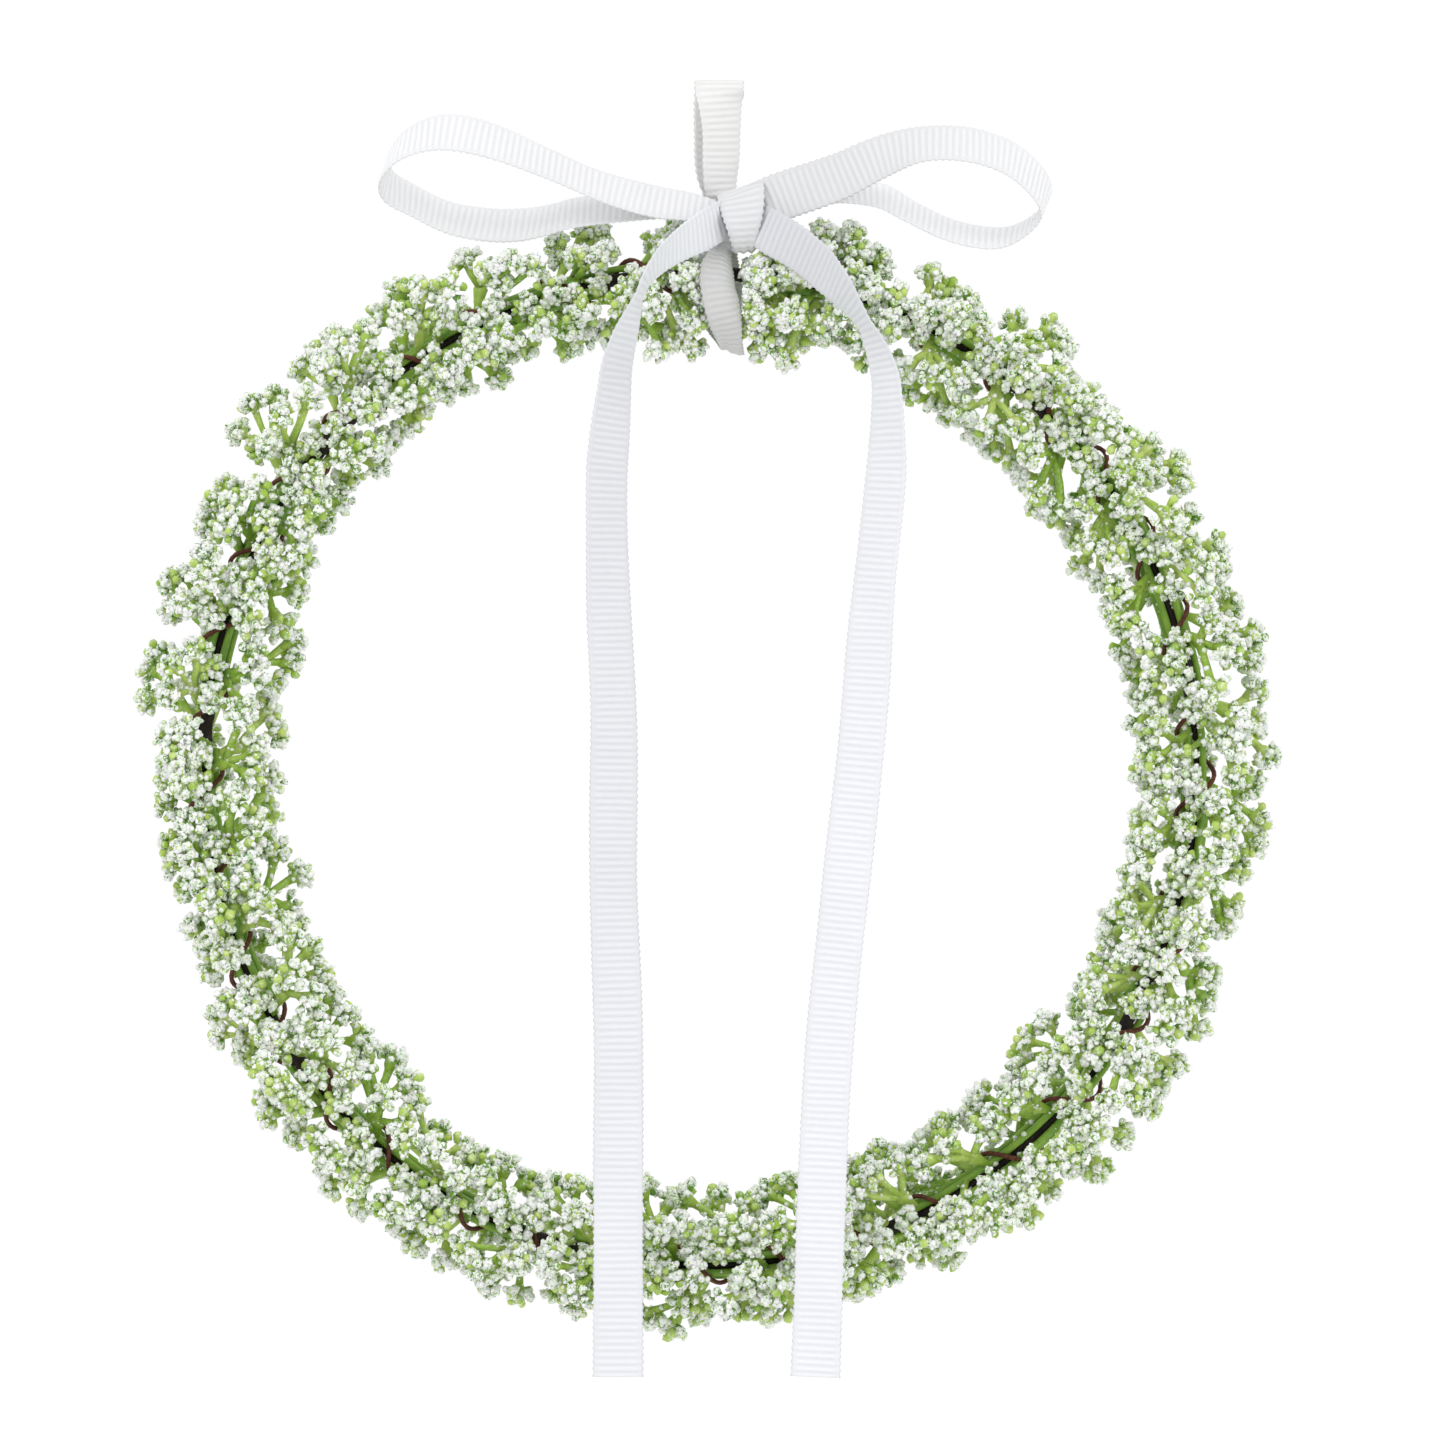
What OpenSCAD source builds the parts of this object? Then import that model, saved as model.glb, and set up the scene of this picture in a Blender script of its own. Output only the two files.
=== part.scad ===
// Flower crown: a taped wire ring with bound flower sprigs, hung and tied with a white ribbon bow.
// The origin is the top of the hanger's loop. +Z is up, the ring stands in the XZ plane,
// and -Y is the front, where the bow's tails hang. Millimetres.

/* [Ring] */
// Radius of the ring's centre line
ring_r = 105; // [88:1:126]
// Thickness of the steel wire inside the ring
wire_d = 1.8; // [1.4:0.1:2.2]
// Slack between the wire and its tape
tape_slack = 0.05; // [0.02:0.01:0.1]
// Wall of the tape wrapped round the wire
tape_wall = 0.55; // [0.4:0.05:0.8]
// Gap between the ring's two butted ends
butt_gap = 2.4; // [1:0.1:4]

/* [Sprigs] */
// Distance from the ring's centre line to the middle of a flower head
floret_reach = 13; // [10.5:0.1:15.5]
// Gap left between neighbouring flower heads
floret_gap = 3; // [2:0.5:5]
// Share by which the heads stand out further on the right of the bundle than on its left
sway = 0.18; // [0:0.02:0.24]
// Thickness of a sprig's stalk
stalk_d = 1.6; // [1.2:0.1:2]
// Thickness of the neck under a flower head
neck_d = 1.4; // [1:0.1:1.8]
// How far along the ring a neck leans
neck_lean = 6; // [4:0.5:7]
// Gap between the stalks and the tape
stalk_gap = 0.1; // [0.05:0.05:0.3]

/* [Binding wire] */
// Thickness of the paper covered wire that binds the stalks
bind_d = 0.9; // [0.6:0.05:1.2]
// Gap between the binding wire and the stalks
bind_gap = 0.15; // [0.05:0.05:0.4]

/* [Ribbon] */
// Width of the ribbon
ribbon_w = 10; // [8:0.5:12]
// Thickness of the ribbon
ribbon_t = 0.5; // [0.4:0.05:0.7]
// Height of the hanger's top above the ring's centre line
hang_h = 41; // [34:0.2:60]
// Radius of the open eye at the hanger's top
eye_r = 2.75; // [2.4:0.05:3.2]
// How far the tails' ends hang below the hanger's top
tail_end = 272; // [220:1:330]
// Least gap between ribbons and what they lie on
ribbon_gap = 0.8; // [0.5:0.1:2]
// Gap in a ribbon where it flexes
fold_gap = 0.9; // [0.6:0.1:1.5]
// How far below the heads' lower edge the tails flex
tail_drop = 6; // [4:0.5:9]

/* [Knot] */
// Width of the knot past the ribbon inside it
knot_side = 5; // [4:0.5:8]
// Height of the knot
knot_h = 12.6; // [10:0.2:14]
// Depth of the knot in front of the hanger
knot_front = 8; // [7:0.5:10]
// Depth of the knot behind the hanger
knot_back = 3.5; // [3:0.5:5]
// Clearance of the ribbon in the knot
knot_slack = 0.2; // [0.1:0.05:0.5]

/* [Hidden] */
sprig_count = 45;
$fn = 48;

// The ring lies a little left of the hanger, and the sling crosses it at sling_x.
ring_x = -4;
sling_x = 1.5;
ring_z = -(hang_h + ring_r);
sling_turn = asin((sling_x - ring_x) / ring_r);
around = 2 * PI * ring_r;

// Round bundle: wire, tape, stalks in five rows, then the binding wire.
rows = 5;
heads_per_sprig = 4;
row_turn = 360 / rows;
first_row = 54;
tape_in = wire_d / 2 + tape_slack;
tape_out = tape_in + tape_wall;
stalk_at = tape_out + stalk_gap + stalk_d / 2;
bind_sides = 12;
bind_at = (stalk_at + stalk_d / 2 + bind_gap + bind_d / 2) / cos(180 / bind_sides);

// Flower heads: as large as their spacing along and around the ring allows.
wobble = floret_gap / 4;
row_out = floret_reach * cos(row_turn / 4);
around_gap = 2 * floret_reach * sin(row_turn / 2);
head_slack = 1;
head_start = ribbon_w / 2 + around_gap / 2 - floret_gap / 2 + head_slack;
heads = sprig_count * heads_per_sprig;
head_step = (around - 2 * head_start) / (heads - 1);
row_step = rows * head_step;
along_gap = row_step * (ring_r - row_out) / ring_r;
head_r = (min(along_gap, around_gap) - floret_gap) / 2;
band = row_out * (1 + sway) + head_r + wobble;
front_out = floret_reach * (1 + sway * cos(first_row)) * sin(first_row);
front_band = front_out + head_r + wobble + ribbon_gap;

// Heads under the bow are pressed down: how far, and over what stretch of the ring.
press_reach = 0.66;
press_size = 0.72;
press_from = 22;
press_to = 66;

// Knot, and the heights that hang from it.
fold_z = -(hang_h - bind_at - bind_d / 2 - ribbon_gap - knot_h - fold_gap);
knot_top = fold_z - fold_gap / 2;
knot_bottom = knot_top - knot_h;
knot_w = ribbon_w + knot_side;
knot_x = 2.5;
knot_left = knot_x - knot_w / 2;
knot_right = knot_x + knot_w / 2;
strand_gap = 0.6;
strand_y = (strand_gap + ribbon_t) / 2;
tail_fold = -(row_out + head_r + wobble + tail_drop);

function unit(v) = v / norm(v);
function ease(t) = let (c = max(0, min(1, t))) c * c * (3 - 2 * c);
function mix(a, b, t) = a + (b - a) * t;
function scatter(i, n) = let (v = sin(i * 137.5 + n * 71.3) * 437.58) 2 * (v - floor(v)) - 1;
function sprig_name(i) = str("sprig_", i < 10 ? "0" : "", i);

// A smooth curve through points of any size, cut into steps between each two.
function curve_at(a, b, c, d, t) =
    0.5 * (2 * b + (c - a) * t + (2 * a - 5 * b + 4 * c - d) * t * t
    + (3 * b - a - 3 * c + d) * t * t * t);
function curve(p, steps) = concat(
    [for (i = [0:len(p) - 2], j = [0:steps - 1])
        curve_at(p[max(i - 1, 0)], p[i], p[i + 1], p[min(i + 2, len(p) - 1)], j / steps)],
    [p[len(p) - 1]]
);

// A place on the bundle: arc length clockwise from the sling, distance from the centre line,
// and turn round it from outward (0) through the front (90). The ring is flat in XY here.
function ring_angle(s) = 90 - sling_turn - s / ring_r * 180 / PI;
function ring_point(s, rho, turn) =
    let (a = ring_angle(s), r = ring_r + rho * cos(turn))
    [r * cos(a), r * sin(a), rho * sin(turn)];

module on_ring() {
    translate([ring_x, 0, ring_z])
        rotate([90, 0, 0])
            children();
}

// A stretch of the ring from arc length s to e, with the child as its section.
module ring_arc(s, e) {
    rotate([0, 0, ring_angle(e)])
        rotate_extrude(angle = (e - s) / ring_r * 180 / PI)
            children();
}

module ring_wire() {
    color("dimgray")
        on_ring()
            ring_arc(butt_gap / 2, around - butt_gap / 2)
                translate([ring_r, 0])
                    circle(d = wire_d);
}

module floral_tape() {
    color("#3b2a26")
        on_ring()
            ring_arc(butt_gap / 2, around - butt_gap / 2)
                translate([ring_r, 0])
                    difference() {
                        circle(r = tape_out);
                        circle(r = tape_in);
                    }
}

// The binding wire winds once round the bundle for every five heads, half a turn from them.
bind_ends = 2;
bind_turns = (around - 2 * (head_start - bind_ends)) / row_step;
bind_rings = round(bind_turns * bind_sides);
bind_corners = 6;
function bind_point(i) =
    let (s = head_start - bind_ends + i * row_step / bind_sides)
    ring_point(s, bind_at, first_row + 180 + 360 * (s - head_start) / row_step);

// A round tube along points, as one closed skin.
module tube(path, d, corners) {
    n = len(path);
    rings = [for (i = [0:n - 1])
        let (t = unit(path[min(i + 1, n - 1)] - path[max(i - 1, 0)]))
        let (u = unit(cross(t, [path[i][0], path[i][1], 0])), v = cross(t, u))
        for (j = [0:corners - 1])
            path[i] + d / 2 * (u * cos(j * 360 / corners) + v * sin(j * 360 / corners))];
    sides = [for (i = [0:n - 2], j = [0:corners - 1])
        let (k = (j + 1) % corners, a = i * corners, b = a + corners)
        each [[a + j, b + j, a + k], [a + k, b + j, b + k]]];
    first = [for (j = [0:corners - 1]) j];
    last = [for (j = [corners - 1:-1:0]) (n - 1) * corners + j];
    polyhedron(rings, concat([first, last], sides));
}

module binding_wire() {
    color("#5d2f26")
        on_ring()
            tube([for (i = [0:bind_rings]) bind_point(i)], bind_d, bind_corners);
}

// Head k sits at its step along the ring and its turn round it, a little off the regular place.
function pressed(k) =
    let (s = head_start + k * head_step, near = min(s, around - s))
    cos(first_row + k * row_turn) > -0.3
        ? 1 - ease((near - press_from) / (press_to - press_from))
        : 0;
// How a head's reach and size change with the side it points to and the bow pressing on it.
function swayed(k) =
    1 + sway * cos(first_row + k * row_turn) * cos(ring_angle(head_start + k * head_step));
function head_reach(k) =
    floret_reach * swayed(k) * mix(1, press_reach, pressed(k)) + wobble * scatter(k, 1);
function head_size(k) =
    head_r * min(1, swayed(k)) * mix(1, press_size, pressed(k)) * (1 - 0.08 * (1 + scatter(k, 2)));
function head_turn(k) = first_row + k * row_turn + wobble / floret_reach * 57 * scatter(k, 3);
function head_s(k) = head_start + k * head_step;
function head_point(k) = ring_point(head_s(k), head_reach(k), head_turn(k));
function neck_point(k) = ring_point(head_s(k) - neck_lean, stalk_at, first_row + k * row_turn);

// Outline of a flower head on its neck: height along the neck, and a dome past it.
function head_outline(l, r) = concat(
    [[0, 0], [neck_d / 2, 0], [neck_d / 2, l - 1.1 * r], [0.55 * r, l - 0.72 * r]],
    [for (a = [-24:24:72]) [r * cos(a), l + r * sin(a)]],
    [[0, l + r]]
);

module flower_head(from, to, r) {
    d = to - from;
    translate(from)
        rotate([0, acos(d[2] / norm(d)), atan2(d[1], d[0])])
            rotate_extrude()
                polygon(head_outline(norm(d), r));
}

// One sprig: a stalk along the ring with four flower heads leaning off it.
module sprig(i) {
    row = i % rows;
    first = row + rows * heads_per_sprig * floor(i / rows);
    mine = [for (j = [0:heads_per_sprig - 1]) first + rows * j];
    stalk_from = head_s(mine[0]) - neck_lean - neck_d;
    stalk_to = head_s(mine[heads_per_sprig - 1]) - neck_lean + neck_d;
    turn = first_row + row * row_turn;
    color(i % 3 == 0 ? "#8fae3c" : i % 3 == 1 ? "#dfe9d2" : "#6f9b45")
        on_ring() {
            ring_arc(stalk_from, stalk_to)
                translate([ring_r + stalk_at * cos(turn), stalk_at * sin(turn)])
                    circle(d = stalk_d);
            for (k = mine)
                flower_head(neck_point(k), head_point(k), head_size(k));
        }
}

// Flat outline of a ribbon seen on its edge, along points.
function edge_side(p, side) = [for (i = [0:len(p) - 1])
    let (t = unit(p[min(i + 1, len(p) - 1)] - p[max(i - 1, 0)]))
    p[i] + side * ribbon_t / 2 * [-t[1], t[0]]];
function edge_outline(p) =
    concat(edge_side(p, 1), [for (i = [len(p) - 1:-1:0]) edge_side(p, -1)[i]]);

// A ribbon whose edge-on outline lies in the YZ plane, centred at x.
module upright_ribbon(p, x) {
    translate([x - ribbon_w / 2, 0, 0])
        rotate([90, 0, 90])
            linear_extrude(ribbon_w)
                polygon(edge_outline(p));
}

// Half of the hanger's outline, from the fold at the knot up to the eye's crown.
eye_mid = eye_r + ribbon_t / 2;
eye_z = -(eye_r + ribbon_t);
hanger_foot = fold_z + fold_gap / 2;
eye_foot = eye_z - 3;
hanger_side = [
    [strand_y, hanger_foot],
    [strand_y, mix(hanger_foot, eye_foot, 0.2)],
    [mix(strand_y, eye_mid, 0.35), mix(hanger_foot, eye_foot, 0.52)],
    [mix(strand_y, eye_mid, 0.85), mix(hanger_foot, eye_foot, 0.8)],
    [eye_mid, eye_foot],
];
hanger_eye = [for (a = [0:15:90]) [eye_mid * cos(a), eye_z + eye_mid * sin(a)]];
function flipped(p) = [for (i = [len(p) - 1:-1:0]) [-p[i][0], p[i][1]]];

module hanger_ribbon() {
    half = concat(curve(hanger_side, 4), hanger_eye);
    other = flipped(half);
    color("whitesmoke")
        upright_ribbon(concat(half, [for (i = [1:len(other) - 1]) other[i]]), 0);
}

// The sling hugs the bundle under the knot, then swings out round the pressed sprigs:
// turn from straight up, and distance from the ring's centre line.
bundle = bind_at + bind_d / 2 + ribbon_gap;
sling_shape = [
    [28, bundle], [50, bundle + 0.5], [75, bundle + 3], [100, bundle + 6],
    [125, bundle + 8.5], [150, bundle + 10.8], [180, bundle + 12],
];
sling_side = [for (q = curve(sling_shape, 3)) [q[1] * sin(q[0]), q[1] * cos(q[0]) - hang_h]];

module sling_ribbon() {
    top = [[strand_y, knot_top - knot_slack], [strand_y, knot_bottom - 0.1]];
    half = concat(top, sling_side);
    other = flipped(half);
    color("whitesmoke")
        upright_ribbon(concat(half, [for (i = [1:len(other) - 1]) other[i]]), sling_x);
}

// Rounded upright block, with the slot that the ribbon's two strands pass through.
function rounded(lo, hi, r) = [for (q = [[1, 1, 0], [0, 1, 90], [0, 0, 180], [1, 0, 270]], a = [0:15:90])
    [(q[0] == 1 ? hi[0] - r : lo[0] + r) + r * cos(q[2] + a),
     (q[1] == 1 ? hi[1] - r : lo[1] + r) + r * sin(q[2] + a)]];
knot_round = 3;

module bow_knot() {
    slot_w = ribbon_w + 2 * knot_slack;
    slot_d = 2 * (strand_y + ribbon_t / 2 + knot_slack);
    color("white")
        difference() {
            translate([knot_left, 0, 0])
                rotate([90, 0, 90])
                    linear_extrude(knot_w)
                        polygon(rounded([-knot_front, knot_bottom], [knot_back, knot_top], knot_round));
            translate([sling_x - slot_w / 2, -slot_d / 2, knot_bottom - 1])
                cube([slot_w, slot_d, knot_h + 2]);
        }
}

// A free ribbon along stations: place, with its height counted from the top of the ring's centre
// line, direction of its width seen from the front, and lean of its width out of that view.
function across(turn, lean) =
    ribbon_w * [cos(lean) * cos(turn), sin(lean), cos(lean) * sin(turn)];

module free_ribbon(stations) {
    n = len(stations);
    mid = [for (q = stations) [q[0], q[1], q[2]]];
    corners = [for (i = [0:n - 1])
        let (w = across(stations[i][3], stations[i][4]) / 2)
        let (t = unit(mid[min(i + 1, n - 1)] - mid[max(i - 1, 0)]))
        let (up = unit(cross(t, w)) * ribbon_t / 2)
        each [mid[i] - w - up, mid[i] + w - up, mid[i] + w + up, mid[i] - w + up]];
    sides = [for (i = [0:n - 2], j = [0:3])
        let (k = (j + 1) % 4, a = 4 * i, b = a + 4)
        each j == 2
            ? [[a + j, a + k, b + k], [a + j, b + k, b + j]]
            : [[a + j, a + k, b + j], [a + k, b + k, b + j]]];
    last = 4 * (n - 1);
    translate([0, 0, -hang_h])
        polyhedron(corners, concat([[3, 2, 1, 0], [last, last + 1, last + 2, last + 3]], sides));
}

// Loops: from the knot's side out along the front strand and back along the rear one.
left_loop = [
    [knot_left - fold_gap, -6.5, 13.5, 95, 45],
    [-15, -7, 15, 95, 45],
    [-25, -8, 18, 95, 45],
    [-36, -11, 23, 92, 45],
    [-48, -14, 28, 90, 45],
    [-58, -14, 30, 85, 45],
    [-66, -11, 27.5, 80, 45],
    [-70.5, -6, 22.5, 78, 45],
    [-70, -2, 18.5, 78, 45],
    [-65, 1.5, 15.5, 80, 45],
    [-57.5, 4, 12, 82, 45],
    [-49, 4, 10.5, 82, 45],
    [-42, 3, 10.5, 82, 45],
    [-36, 1, 11.5, 82, 45],
    [-30, -1, 13, 85, 45],
    [-15, -3, 14.5, 95, 45],
    [knot_left - fold_gap, -3.5, 14, 95, 45],
];
right_loop = [
    [knot_right + fold_gap, -6.5, 15, 92, 30],
    [20, -7.5, 18, 105, 25],
    [26, -8, 20, 105, 30],
    [34, -10, 24, 98, 35],
    [42.5, -12.5, 26.5, 92, 39],
    [52, -13, 26.5, 85, 39],
    [60.5, -10.5, 24, 80, 42],
    [66.5, -7, 19.5, 75, 45],
    [69, -3, 15, 70, 48],
    [66.5, 0, 11, 62, 52],
    [61, 2.5, 8, 60, 57],
    [54.5, 3, 8, 58, 57],
    [47.5, 2.5, 9.5, 58, 57],
    [39.5, 0.5, 12.5, 60, 57],
    [34.5, -1, 14.5, 65, 55],
    [22, -3, 16, 80, 50],
    [knot_right + fold_gap, -3.5, 15.5, 92, 40],
];

module bow_loop_left() {
    color("white")
        free_ribbon(curve(left_loop, 3));
}

module bow_loop_right() {
    color("white")
        free_ribbon(curve(right_loop, 3));
}

// Tails over the front of the crown: x, how far forward from the knot's face (0) to clear of the
// heads (1), height, and the width's turn and lean.
function lie(q) = [q[0], -(mix(knot_front, front_band, q[1]) + ribbon_w / 2 * abs(sin(q[4]))),
    q[2], q[3], q[4]];
left_drape = [
    [-0.5, -0.15, 10.5, -74, 30],
    [-4, 0.15, 7, -52, 38],
    [-7.5, 0.4, 4.5, -54, 50],
    [-11, 0.7, 2, -60, 62],
    [-13.5, 0.9, -0.5, -60, 73],
    [-15.5, 1, -4, -30, 80],
    [-17.5, 1, -7.5, 8, 68],
    [-19, 1, -11, 4, 61],
    [-20, 1, -15.5, 0, 56],
    [-21.5, 1, -20.5, 0, 52],
    [-22, 1, tail_fold + fold_gap / 2, 0, 48],
];
right_drape = [
    [6.5, -0.15, 11, 36, -15],
    [11.5, 0.2, 8, 33, -8],
    [15.5, 0.4, 5.5, 27, -15],
    [19, 0.6, 2, 20, -22],
    [22.5, 0.8, -1.5, 16, -38],
    [25.5, 0.95, -5, 11, -57],
    [28.5, 1, -9, -8, -67],
    [31, 1, -12.5, -22, -69],
    [32.5, 1, -16, -18, -63],
    [34.5, 1, -21, -10, -56],
    [35, 1, tail_fold + fold_gap / 2, 0, -52],
];

module tail_left_drape() {
    color("white")
        free_ribbon(curve([for (q = left_drape) lie(q)], 3));
}

module tail_right_drape() {
    color("white")
        free_ribbon(curve([for (q = right_drape) lie(q)], 3));
}

// Hanging tails: share of the drop, x and lean. They curl forward on the way down, so that
// their weight hangs under the fold.
curl = 8;
left_tail = [
    [0, -22, 48], [0.05, -23, 39], [0.1, -23.5, 34], [0.22, -23, 30], [0.34, -22, 21],
    [0.5, -22, 18], [0.66, -21, 12], [0.8, -21, 6], [1, -21, 5],
];
right_tail = [
    [0, 35, -52], [0.05, 35, -45], [0.1, 34.5, -38], [0.22, 32, -30], [0.34, 30, -21],
    [0.5, 26.5, -18], [0.66, 23, -18], [0.8, 21.5, -14], [1, 20, -12],
];
function hang(q, top_lean) =
    let (y = -(front_band + ribbon_w / 2 * sin(top_lean)) - curl * q[0])
    [q[1], y, mix(tail_fold - fold_gap / 2, hang_h - tail_end, q[0]), 0, q[2]];

module tail_left() {
    color("white")
        free_ribbon(curve([for (q = left_tail) hang(q, 48)], 3));
}

module tail_right() {
    color("white")
        free_ribbon(curve([for (q = right_tail) hang(q, 52)], 3));
}

ring_wire();
floral_tape();
binding_wire();
for (i = [1:sprig_count])
    sprig(i - 1);
hanger_ribbon();
sling_ribbon();
bow_knot();
bow_loop_left();
bow_loop_right();
tail_left_drape();
tail_left();
tail_right_drape();
tail_right();
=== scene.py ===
"""Looks of the flower crown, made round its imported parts.

The crown's own sizes are in millimetres, and a mesh turns them into metres. The camera, the lights,
the floor, the inputs of node trees and the ends of a blend are in metres.
"""

import math

import bmesh
import bpy
import numpy as np
from mathutils import Matrix, Vector
from mathutils.bvhtree import BVHTree


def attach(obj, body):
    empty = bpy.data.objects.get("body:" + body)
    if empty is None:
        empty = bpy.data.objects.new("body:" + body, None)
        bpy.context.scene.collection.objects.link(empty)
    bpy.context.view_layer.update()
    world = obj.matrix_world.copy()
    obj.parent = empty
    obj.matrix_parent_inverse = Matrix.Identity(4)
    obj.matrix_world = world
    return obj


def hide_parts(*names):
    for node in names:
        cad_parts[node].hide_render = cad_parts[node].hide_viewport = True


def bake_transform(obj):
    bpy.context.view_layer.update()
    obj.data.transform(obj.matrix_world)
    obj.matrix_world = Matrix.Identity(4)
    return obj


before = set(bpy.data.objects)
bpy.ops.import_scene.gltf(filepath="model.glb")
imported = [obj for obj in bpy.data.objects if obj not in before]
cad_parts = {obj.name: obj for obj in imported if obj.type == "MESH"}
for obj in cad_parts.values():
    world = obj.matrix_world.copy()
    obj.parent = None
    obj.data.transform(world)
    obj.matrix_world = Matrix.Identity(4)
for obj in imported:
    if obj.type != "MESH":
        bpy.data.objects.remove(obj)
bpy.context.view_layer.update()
MM = 0.001

# Camera: level, square on to the front of the crown, from far enough to look nearly flat.
LENS = 200
SENSOR = 36
VIEW_WIDTH = 0.306
VIEW_X = 0.0007
VIEW_Z = -0.1361
camera = bpy.data.objects.new("camera", bpy.data.cameras.new("camera"))
camera.data.lens = LENS
camera.data.sensor_width = SENSOR
camera.location = (VIEW_X, -VIEW_WIDTH * LENS / SENSOR, VIEW_Z)
camera.rotation_euler = (math.pi / 2, 0, 0)
bpy.context.scene.collection.objects.link(camera)
bpy.context.scene.camera = camera

# The crown's own sizes, as in its parts. A name that ends in _AT is a distance from the ring's centre line.
RING_R = 105
HANG_H = 41
RING_X = -4
RING_Z = -(HANG_H + RING_R)
SLING_X = 1.5
SLING_TURN = math.asin((SLING_X - RING_X) / RING_R)
AROUND = 2 * math.pi * RING_R
TAPE_R = 1.5
STALK_R = 0.8
STALK_AT = 2.4
BIND_R = 0.45
BIND_AT = 3.8
RIBBON_W = 10

# Sprigs lie in five rows round the bundle, and each has four flower heads. Turns are in degrees.
SPRIG_COUNT = 45
HEADS_EACH = 4
ROWS = 5
FIRST_ROW = 54
ROW_TURN = 360 // ROWS
REACH = 13
HEAD_R = 6.14
SWAY = 0.18
WOBBLE = 0.75
NECK_LEAN = 6
HEAD_START = 12.14
HEAD_STEP = (AROUND - 2 * HEAD_START) / (SPRIG_COUNT * HEADS_EACH - 1)
ROW_STEP = ROWS * HEAD_STEP


def unit(v):
    return v / np.linalg.norm(v, axis=-1, keepdims=True)


def mix(a, b, t):
    return a + (b - a) * t


def ease(t):
    t = np.clip(t, 0, 1)
    return t * t * (3 - 2 * t)


def cos(degrees):
    return math.cos(math.radians(degrees))


def sin(degrees):
    return math.sin(math.radians(degrees))


def scatter(i, n):
    """The draw from -1 to 1 that the parts make for head i, with n for what is drawn."""
    v = sin(i * 137.5 + n * 71.3) * 437.58
    return 2 * (v - math.floor(v)) - 1


def ring_angle(s):
    """The angle up from the ring's right side, at a length clockwise along it from the sling."""
    return math.pi / 2 - SLING_TURN - s / RING_R


def ring_out(s):
    a = ring_angle(s)
    return np.array([math.cos(a), 0, math.sin(a)])


def ring_point(s, rho, turn):
    """A place on the bundle: length along the ring, distance from its centre line, turn round it."""
    out = ring_out(s) * (RING_R + rho * cos(turn))
    return out + np.array([RING_X, -rho * sin(turn), RING_Z])


# ---------------------------------------------------------------- meshes


class Shell:
    """Points and faces of one piece, with a number or vector kept at each point."""

    def __init__(self):
        self.points = []
        self.faces = []
        self.values = {}
        self.count = 0

    def add(self, points, faces, **values):
        points = np.asarray(points, float).reshape(-1, 3)
        self.points.append(points)
        self.faces += [[self.count + i for i in f] for f in faces]
        for name, value in values.items():
            is_vector = np.ndim(value) > 0 and np.shape(value)[-1] == 3
            full = np.broadcast_to(value, (len(points), 3) if is_vector else (len(points),))
            self.values.setdefault(name, []).append(full)
        self.count += len(points)

    def loft(self, rings, strip=False, **values):
        """A skin over rings of points. strip closes the ends of a flat band with short faces."""
        rings = np.asarray(rings, float)
        n, m = rings.shape[:2]
        faces = []
        for a in range(0, (n - 1) * m, m):
            b = a + m
            faces += [[a + j, b + j, b + (j + 1) % m, a + (j + 1) % m] for j in range(m)]
        for a, order in ((0, 1), ((n - 1) * m, -1)):
            if strip:
                half = m // 2
                caps = [[a, a + 1, a + m - 1], [a + half - 1, a + half, a + half + 1]]
                caps += [[a + j, a + j + 1, a + m - j - 1, a + m - j] for j in range(1, half - 1)]
            else:
                caps = [[a + j for j in range(m)]]
            faces += [cap[::order] for cap in caps]
        flat = {k: np.ravel(v) if np.ndim(v) == 2 else v for k, v in values.items()}
        self.add(rings.reshape(-1, 3), faces, **flat)

    def tube(self, path, radius, sides=6, flat=1.0, up=(0.31, 0.82, 0.47), **values):
        """A tube along points. radius may change along it, and flat squeezes it across up."""
        path = np.asarray(path, float)
        t = unit(np.gradient(path, axis=0))
        u = unit(np.cross(t, np.broadcast_to(up, t.shape)))
        v = np.cross(t, u)
        turn = np.arange(sides) * 2 * math.pi / sides
        r = np.broadcast_to(radius, len(path))[:, None, None]
        rings = path[:, None] + r * (u[:, None] * np.cos(turn)[None, :, None]
                                     + v[:, None] * flat * np.sin(turn)[None, :, None])
        self.loft(rings, **values)

    def make(self, name):
        mesh = bpy.data.meshes.new(name)
        points = np.concatenate(self.points) * MM
        mesh.from_pydata(points.tolist(), [], self.faces)
        for key, parts in self.values.items():
            data = np.concatenate(parts)
            kind, field = ("FLOAT_VECTOR", "vector") if data.ndim == 2 else ("FLOAT", "value")
            layer = mesh.attributes.new(key, kind, "POINT")
            layer.data.foreach_set(field, data.astype(np.float32).ravel())
        bm = bmesh.new()
        bm.from_mesh(mesh)
        bmesh.ops.recalc_face_normals(bm, faces=bm.faces)
        bm.to_mesh(mesh)
        bm.free()
        mesh.shade_smooth()
        obj = bpy.data.objects.new(name, mesh)
        bpy.context.scene.collection.objects.link(obj)
        return obj


# ---------------------------------------------------------------- node trees


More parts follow.
